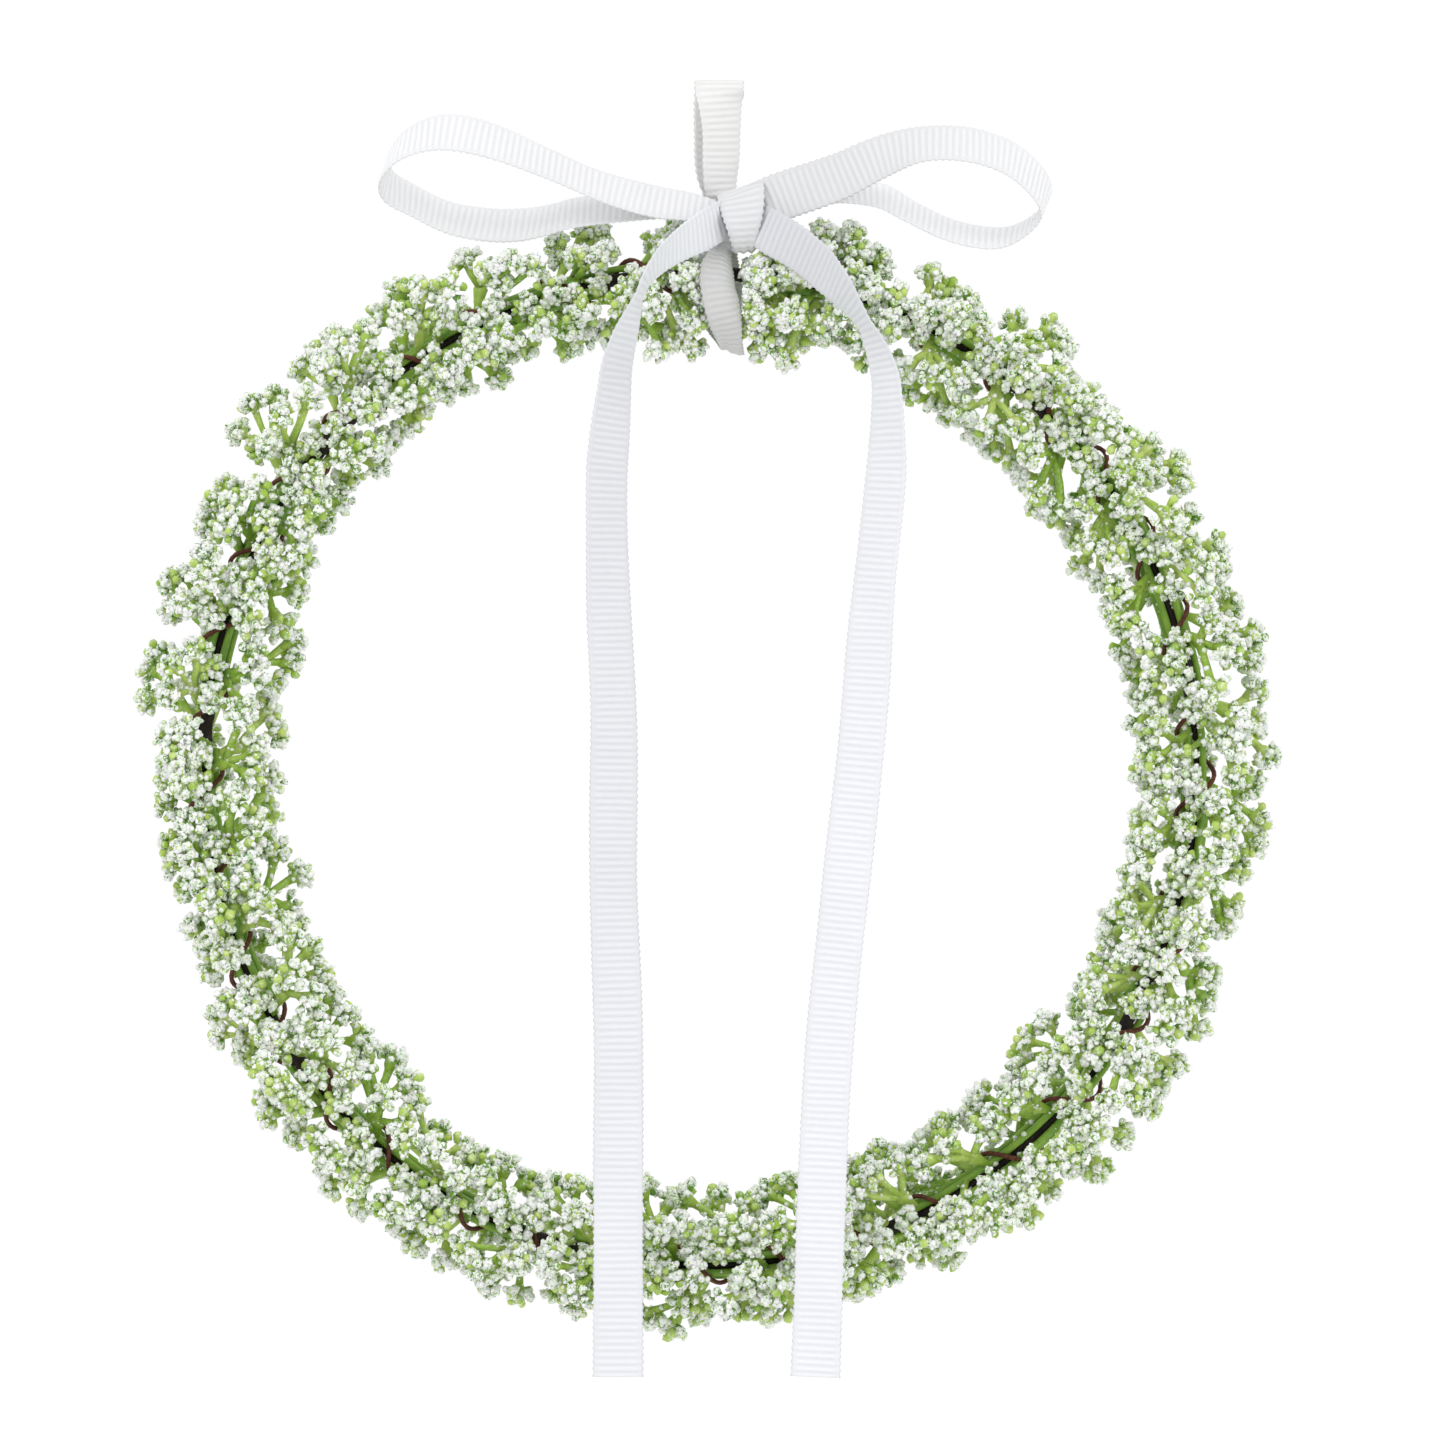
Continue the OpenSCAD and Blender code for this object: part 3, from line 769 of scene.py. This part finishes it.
LEFT_DRAPE = [
    [1.8, -0.3, 12.6, -70, 24, 0.6],
    [-0.2, -0.1, 10.4, -64, 30, 0.85],
    [-3.6, 0.15, 8.1, -56, 42, 1],
    [-7, 0.4, 5.9, -53, 52, 1],
    [-10.4, 0.7, 3.2, -50, 64, 1],
    [-12.8, 0.9, 0.7, -44, 73, 1],
    [-14.9, 1, -2.4, -36, 80, 1],
    [-16.5, 1, -6, -26, 82, 1],
    [-17.9, 1, -9.5, -18, 72, 1],
    [-19.2, 1, -13, -12, 61, 1],
    [-20.5, 1, -17, -8, 54, 1],
    [-21.5, 1, -21.2, -3, 50, 1],
]
RIGHT_DRAPE = [
    [4.4, -0.3, 12.2, 55, -20, 0.55],
    [6.5, -0.15, 10.8, 52, -22, 0.8],
    [11, 0.2, 7.9, 48, -26, 1],
    [15.5, 0.4, 5.0, 46, -30, 1],
    [19.7, 0.6, 1.7, 44, -36, 1],
    [22.6, 0.8, -1.2, 41, -44, 1],
    [25.4, 0.95, -4.4, 36, -58, 1],
    [28.1, 1, -8.2, 30, -71, 1],
    [30.4, 1, -11.8, 22, -77, 1],
    [32.3, 1, -15.4, 14, -68, 1],
    [34.2, 1, -20.6, 6, -57, 1],
]
LEFT_TAIL = [[0, -22, 48], [0.05, -23, 39], [0.1, -23.5, 34], [0.22, -23, 30], [0.34, -22, 21],
             [0.5, -22, 18], [0.66, -21, 12], [0.8, -21, 6], [1, -21, 5]]
RIGHT_TAIL = [[0, 35, -52], [0.05, 35, -45], [0.1, 34.5, -38], [0.22, 32, -30], [0.34, 30, -21],
              [0.5, 26.5, -18], [0.66, 23, -18], [0.8, 21.5, -14], [1, 20, -12]]

# The knot: one turn of the ribbon pulled tight round the others, narrower at its foot.
KNOT = [
    [4.0, 2.6, 7, -8, 0, 0.8, 0],
    [4.2, 3.5, 12, -4, 0, 0.9, 0],
    [4.4, 2.4, 15.6, 8, 0, 0.98, 0],
    [4.4, -1.5, 17.4, 16, 0, 1, 0],
    [4.5, -6, 17.4, 20, 0, 1, 0],
    [4.7, -9.6, 15.8, 22, -6, 1, 0],
    [4.9, -11.2, 12.4, 20, -6, 0.9, 0],
    [5.1, -11.2, 8.8, 14, -2, 0.68, 0],
    [5.2, -9, 5.2, 6, 0, 0.46, 0],
    [5.2, -5.8, 4.4, 2, 0, 0.44, 0],
    [4.6, -1.4, 5, -4, 0, 0.6, 0],
    [4.2, 1.6, 5.8, -8, 0, 0.72, 0],
]

# Painted shading along each piece: darker as painted shade on the sling most of all, and on the knot, the
# loops' roots, the back of the hanger and the top of the right tail; brighter as painted light on the loops'
# back strands, which the front strands shade, and on parts of the tails.
hanger = ribbon("hanger_ribbon_loop", HANGER, WHITE_WARM, 1.0,
                painted_shading_stops=((0, 0.4), (0.33, 0.1), (0.48, 0.15), (0.54, 0.9), (1, 1)))
left_loop = ribbon("bow_loop_left_ribbon", LEFT_LOOP, WHITE_PLAIN, 2.0, 0.2,
                   painted_shading_stops=((0, 0.1), (0.4, 0), (0.55, -0.4), (1, -0.3)))
right_loop = ribbon("bow_loop_right_ribbon", RIGHT_LOOP, WHITE_PLAIN, 3.0, 0.2,
                    painted_shading_stops=((0, 0.5), (0.15, 0.5), (0.35, 0.15), (0.55, -0.4), (1, -0.4)))
left_tail = ribbon("tail_left_ribbon", drape(LEFT_DRAPE) + hanging(LEFT_TAIL), WHITE_SHADED, 4.0, 0.2,
                   painted_shading_stops=((0, 0), (0.05, -0.3), (0.14, 0), (0.2, 0.15), (0.6, 0.15), (1, -0.1)))
right_tail = ribbon("tail_right_ribbon", drape(RIGHT_DRAPE) + hanging(RIGHT_TAIL), WHITE_SHADED, 5.0, 0.2,
                    painted_shading_stops=((0, 0.4), (0.1, 0.4), (0.2, -0.15), (1, -0.2)))
knot = ribbon("bow_knot_wrap", KNOT, WHITE_PLAIN, 6.0, 0.1, painted_shading_stops=((0, 0.4), (1, 0.4)))

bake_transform(hanger)
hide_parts("hanger_ribbon", "sling_ribbon")
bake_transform(left_loop)
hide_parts("bow_loop_left")
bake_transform(right_loop)
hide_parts("bow_loop_right")
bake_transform(left_tail)
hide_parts("tail_left_drape", "tail_left")
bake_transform(right_tail)
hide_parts("tail_right_drape", "tail_right")
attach(knot, "crown")
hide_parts("bow_knot")

RIBBONS = (hanger, left_loop, right_loop, left_tail, right_tail, knot)
settled = bpy.context.evaluated_depsgraph_get()
ribbon_trees = [BVHTree.FromObject(piece, settled) for piece in RIBBONS]


def clear_of_ribbons(point, gap):
    """True where a point lies further than gap from every ribbon."""
    place = Vector(point * MM)
    return all(tree.find_nearest(place, gap * MM)[0] is None for tree in ribbon_trees)


# ---------------------------------------------------------------- ring, tape and binding wire


def wound_tube(name, path, centre, radius, sides, **growth_inputs):
    """A tube round a path with its length and turn kept for the strip wound round it."""
    path = np.asarray(path, float)
    t = unit(np.gradient(path, axis=0))
    out = unit(path - centre)
    out = unit(out - (out * t).sum(1, keepdims=True) * t)
    side = np.cross(t, out)
    turn = np.arange(sides) * 2 * math.pi / sides
    rings = path[:, None] + radius * (out[:, None] * np.cos(turn)[None, :, None]
                                      + side[:, None] * np.sin(turn)[None, :, None])
    run = np.concatenate([[0], np.cumsum(np.linalg.norm(np.diff(path, axis=0), axis=1))])
    shell = Shell()
    shell.loft(rings, along=np.repeat(run[:, None], sides, 1) * MM,
               turn=np.repeat(turn[None], len(path), 0))
    return grow(shell.make(name), WRAPS, **growth_inputs)


RING_CENTRE = np.array([RING_X, 0, RING_Z])
TAPE_CUTS = 1080
TAPE_WRAPS = 101
TAPE_STEP = 0.2
tape_path = [ring_point(i * AROUND / TAPE_CUTS, 0, 0) for i in range(TAPE_CUTS)]
tape = wound_tube("floral_tape_wraps", tape_path, RING_CENTRE, TAPE_R - TAPE_STEP, 16,
                  Wrap=AROUND / TAPE_WRAPS * MM, Material=TAPE)
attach(tape, "crown")
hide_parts("floral_tape")

# The binding wire goes once round the bundle between two heads of a row.
BIND_CUTS = 1700
BIND_FROM = HEAD_START - 2
bind_places = np.linspace(BIND_FROM, AROUND - BIND_FROM, BIND_CUTS)
bind_path = [ring_point(s, BIND_AT, FIRST_ROW + 180 + 360 * (s - HEAD_START) / ROW_STEP) for s in bind_places]
bind_centres = np.array([ring_point(s, 0, 0) for s in bind_places])
binding = wound_tube("binding_wire_wound", bind_path, bind_centres, BIND_R, 8,
                     Wrap=0.0011, Step=0.00008, Crease=0.00008, Crease_Scale=2500.0, Material=PAPER)
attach(binding, "crown")
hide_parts("binding_wire")

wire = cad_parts["ring_wire"]
wire.data.materials.clear()
wire.data.materials.append(STEEL)


# ---------------------------------------------------------------- sprigs


PRESSED_TO = 22
FREE_FROM = 66


def head_s(k):
    return HEAD_START + k * HEAD_STEP


def head_turn(k):
    return FIRST_ROW + k * ROW_TURN


def pressed(k):
    """How far the bow presses a head down: fully near the sling, and never on the ring's inner side."""
    near = min(head_s(k), AROUND - head_s(k))
    outer = cos(head_turn(k)) > -0.3
    return float(1 - ease((near - PRESSED_TO) / (FREE_FROM - PRESSED_TO))) if outer else 0.0


def swayed(k):
    return 1 + SWAY * cos(head_turn(k)) * math.cos(ring_angle(head_s(k)))


def head_size(k):
    return HEAD_R * min(1, swayed(k)) * mix(1, 0.72, pressed(k)) * (1 - 0.08 * (1 + scatter(k, 2)))


def head_point(k):
    reach = REACH * swayed(k) * mix(1, 0.66, pressed(k)) + WOBBLE * scatter(k, 1)
    turn = head_turn(k) + WOBBLE / REACH * 57 * scatter(k, 3)
    return ring_point(head_s(k), reach, turn)


# How far the florets are moved outwards, at places counted in degrees up from the ring's right side.
SHIFT_AT = (-90, -48, 0, 48, 90, 131, 162, 198, 233, 270)
SHIFT = (-3, -4, -2.2, -3.6, -1, 3.6, 0.5, -4.2, 0.5, -3)


def band_shift(s):
    angle = math.degrees(ring_angle(s)) % 360
    return float(np.interp(angle - 360 if angle > 270 else angle, SHIFT_AT, SHIFT))


BUDS_EACH = 12
BUD_TURN = 2.4
BUD_CLEARANCE = 0.6


def umbel(shell, start, centre, r, tint, rng):
    """A domed bunch of buds on its own branchlet."""
    if not clear_of_ribbons(centre, r * 0.8 - 0.2):
        return
    way = unit(centre - start)
    knee = mix(start, centre, 0.55) + rng.normal(0, 0.25, 3)
    shell.tube([start, knee, centre], np.array([1.0, 0.85, 1.2]) * r / 3, 6, 0.7,
               size=0.0, tint=tint, frost=0.18, cover=1.0, aim=way)
    a = unit(np.cross(way, [0.3, 0.5, 0.8]))
    b = np.cross(way, a)
    shell.add([centre - way * 0.3], [], size=r * 0.62 * MM, tint=tint, frost=0.0, cover=0.5, aim=way)
    for m in range(BUDS_EACH):
        high = 1 - 1.25 * (m + 0.5) / BUDS_EACH
        turn = m * BUD_TURN + rng.uniform(-0.35, 0.35)
        flat = math.sqrt(max(0, 1 - high * high))
        lean = way * high + (a * math.cos(turn) + b * math.sin(turn)) * flat
        bud = centre + lean * r * rng.uniform(0.72, 1.02)
        size = rng.uniform(0.8, 1.25) * mix(0.85, 1, r / 3.3)
        if clear_of_ribbons(bud, size + BUD_CLEARANCE):
            bare = rng.random() < 0.16
            hue = rng.uniform(0.7, 1) if bare else rng.uniform(0.25, 0.95)
            cover = 0.25 if bare else rng.uniform(0.6, 1.25)
            shell.add([bud], [], size=size * MM, tint=hue, frost=0.0, cover=cover, aim=unit(lean + 0.3 * way))


# Rows that also send an umbel over the front of the ring, and how far along it.
SPREAD = {0: 0, 1: 2.4, 3: 1.2}
FRONT = 90
LONG_STEM = 1.08


def floret(shell, k, rng):
    """One flower head: a broad green stem that splits into three umbels along the ring."""
    s = head_s(k)
    foot = ring_point(s - NECK_LEAN, STALK_AT, head_turn(k))
    size = head_size(k)
    top = head_point(k) + ring_out(s) * band_shift(s)
    outward = max(0, cos(head_turn(k)))
    stretch = rng.uniform(0.76, 1) + outward * rng.uniform(0.1, 0.52)
    top = foot + (top - foot) * stretch
    reach = np.linalg.norm(top - foot)
    aim = (top - foot) / reach
    along = np.cross(ring_out(s), [0, 1, 0])
    side = unit(np.cross(aim, along))
    split = foot + aim * reach * 0.42
    path = [foot - aim * 0.5, foot + aim * reach * 0.14, foot + aim * reach * 0.3, split, split + aim * 1.2]
    tint = rng.uniform(0.6, 0.95)
    shell.tube(path, np.array([0.75, 1.0, 1.5, 1.9, 0.7]) * size / 6, 8, 0.5, up=side,
               size=0.0, tint=tint, frost=0.12, cover=1.0, aim=aim)
    for way in (0, -1, 1):
        beside = along * way * size * rng.uniform(0.85, 1.2)
        across = side * size * rng.uniform(-0.55, 0.55)
        inward = aim * size * (0.25 * abs(way) + rng.uniform(-0.2, 0.3))
        umbel(shell, split, top + beside + across - inward, size * rng.uniform(0.5, 0.6), tint, rng)
    if stretch > LONG_STEM:
        middle = mix(foot, top, 0.6) + along * size * rng.uniform(-0.6, 0.6)
        umbel(shell, split, middle, size * 0.5, tint, rng)
    row = k % ROWS
    parting = FRONT if row in SPREAD else head_turn(k) + ROW_TURN / 2
    if rng.random() < (0.95 if row in SPREAD else 0.4):
        between = s + SPREAD.get(row, 0) + rng.normal(0, 1.2)
        centre = ring_point(between, size / 6 * rng.uniform(6.6, 9.4), parting + rng.normal(0, 12))
        start = ring_point(between - 3, STALK_AT, head_turn(k))
        umbel(shell, start, centre, size * rng.uniform(0.46, 0.56), tint, rng)


# Small umbels that fill in beside the sling on both sides, and under the right loop: place along
# the ring, reach, turn and size.
BY_SLING = [
    [7.8, 8.5, 60, 2.2], [8.4, 9.5, 100, 2.6], [7.6, 12.5, 138, 2.7], [11, 14, 160, 2.8],
    [6.5, 9, 175, 2.6], [12.5, 9.5, 75, 2.6], [15.5, 13, 120, 2.8], [10, 6.5, 20, 2.2],
    [16, 16.5, 165, 2.6], [7.4, 15.5, 168, 2.4], [7, 7, 215, 2.4], [10, 11, 250, 2.6],
    [9, 9, 300, 2.6], [6, 7.5, 92, 1.8], [6.3, 5.5, 40, 1.8], [5.8, 10.5, 122, 1.8],
    [6, 13.5, 150, 1.9],
]
UNDER_LOOP = [
    [17.5, 11.2, 4, 2.7], [22, 10.6, -12, 2.8], [25.5, 9, 10, 2.6], [20, 8, 24, 2.4],
    [28.5, 9.6, -6, 2.4], [15, 8.2, -4, 2.2], [24, 12.8, -2, 2.2], [12.5, 6.5, 30, 2],
    [5.6, 4.3, 50, 1.7], [5.3, 4.6, 84, 1.7], [5.6, 5.6, 66, 1.6],
]
RIGHT = 1
LEFT = -1
STALK_CUTS = 40


def filler(shell, heads, side, rng):
    for s, rho, turn, r in heads:
        place = (s + rng.uniform(-0.8, 0.8)) * side % AROUND
        start = ring_point((s + 4) * side % AROUND, STALK_AT, turn)
        centre = ring_point(place, rho, turn + rng.uniform(-6, 6))
        umbel(shell, start, centre, r, rng.uniform(0.55, 0.95), rng)


def sprig(i):
    """A stalk bound along the ring with four flower heads, and the frost beads on them."""
    rng = np.random.default_rng(100 + i)
    row = i % ROWS
    heads = [row + ROWS * (HEADS_EACH * (i // ROWS) + j) for j in range(HEADS_EACH)]
    ends = head_s(heads[0]) - NECK_LEAN - 1.4, head_s(heads[-1]) - NECK_LEAN + 1.4
    shell = Shell()
    places = np.linspace(*ends, STALK_CUTS)
    stalk = [ring_point(s, STALK_AT, head_turn(row) + 5 * math.sin(s / 9 + i)) for s in places]
    shell.tube(stalk, STALK_R, 8, size=0.0, tint=0.5, frost=0.1, cover=1.0, aim=(0, 0, 1))
    for k in heads:
        floret(shell, k, rng)
    if i == 0:
        filler(shell, BY_SLING + UNDER_LOOP, RIGHT, rng)
    if i == SPRIG_COUNT - 1:
        filler(shell, BY_SLING, LEFT, rng)
    name = f"sprig_{i + 1:02d}"
    made = grow(shell.make(name + "_florets"), BUDS, Seed=i, Material=GREEN)
    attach(made, "crown")
    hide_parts(name)
    beads = bpy.data.objects.new(name + "_frost", made.data.copy())
    bpy.context.scene.collection.objects.link(beads)
    grow(beads, BEADS, Seed=i, Material=FROST)
    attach(beads, "crown")


for i in range(SPRIG_COUNT):
    sprig(i)


# ---------------------------------------------------------------- floor and light

FLOOR_Z = -0.33
FLOOR_R = 0.42
floor_shell = bmesh.new()
bmesh.ops.create_circle(floor_shell, cap_ends=True, segments=96, radius=FLOOR_R)
floor_mesh = bpy.data.meshes.new("floor")
floor_shell.to_mesh(floor_mesh)
floor_shell.free()
floor_mesh.transform(Matrix.Translation((0, 0, FLOOR_Z)))
floor = bpy.data.objects.new("floor", floor_mesh)
bpy.context.scene.collection.objects.link(floor)
floor_finish, floor_nodes, floor_shader = material("floor_white", Roughness=0.7)
mottle = floor_nodes.noise(8.0, 2.0, object_place(floor_nodes))
paint(floor_nodes, floor_shader, mottle, [(0.3, (0.86, 0.86, 0.86)), (0.7, (0.9, 0.9, 0.9))])
floor_mesh.materials.append(floor_finish)


def softbox(name, place, target, size, power):
    """A square soft light aimed at a point."""
    data = bpy.data.lights.new(name, "AREA")
    data.energy = power
    data.size = size
    light = bpy.data.objects.new(name, data)
    light.location = place
    light.rotation_euler = (Vector(target) - Vector(place)).to_track_quat("-Z", "Y").to_euler()
    bpy.context.scene.collection.objects.link(light)


MIDDLE = (0, 0, -0.14)
softbox("key", (-0.7, -1.2, 1.2), MIDDLE, 0.8, 8)
softbox("fill", (1.2, -1.2, -0.1), MIDDLE, 1.2, 4)
softbox("back", (0.3, 1.5, 0.8), MIDDLE, 1.2, 5)

world = bpy.data.worlds.new("studio")
world.use_nodes = True
sky = Nodes(world.node_tree)
background = world.node_tree.nodes["Background"]
seen = sky.add("ShaderNodeLightPath").outputs["Is Camera Ray"]
sky.put(background.inputs["Strength"], sky.math("ADD", 0.92, sky.math("MULTIPLY", seen, 0.1)))
background.inputs["Color"].default_value = (1, 1, 1, 1)
bpy.context.scene.world = world
bpy.context.scene.view_settings.view_transform = "Standard"
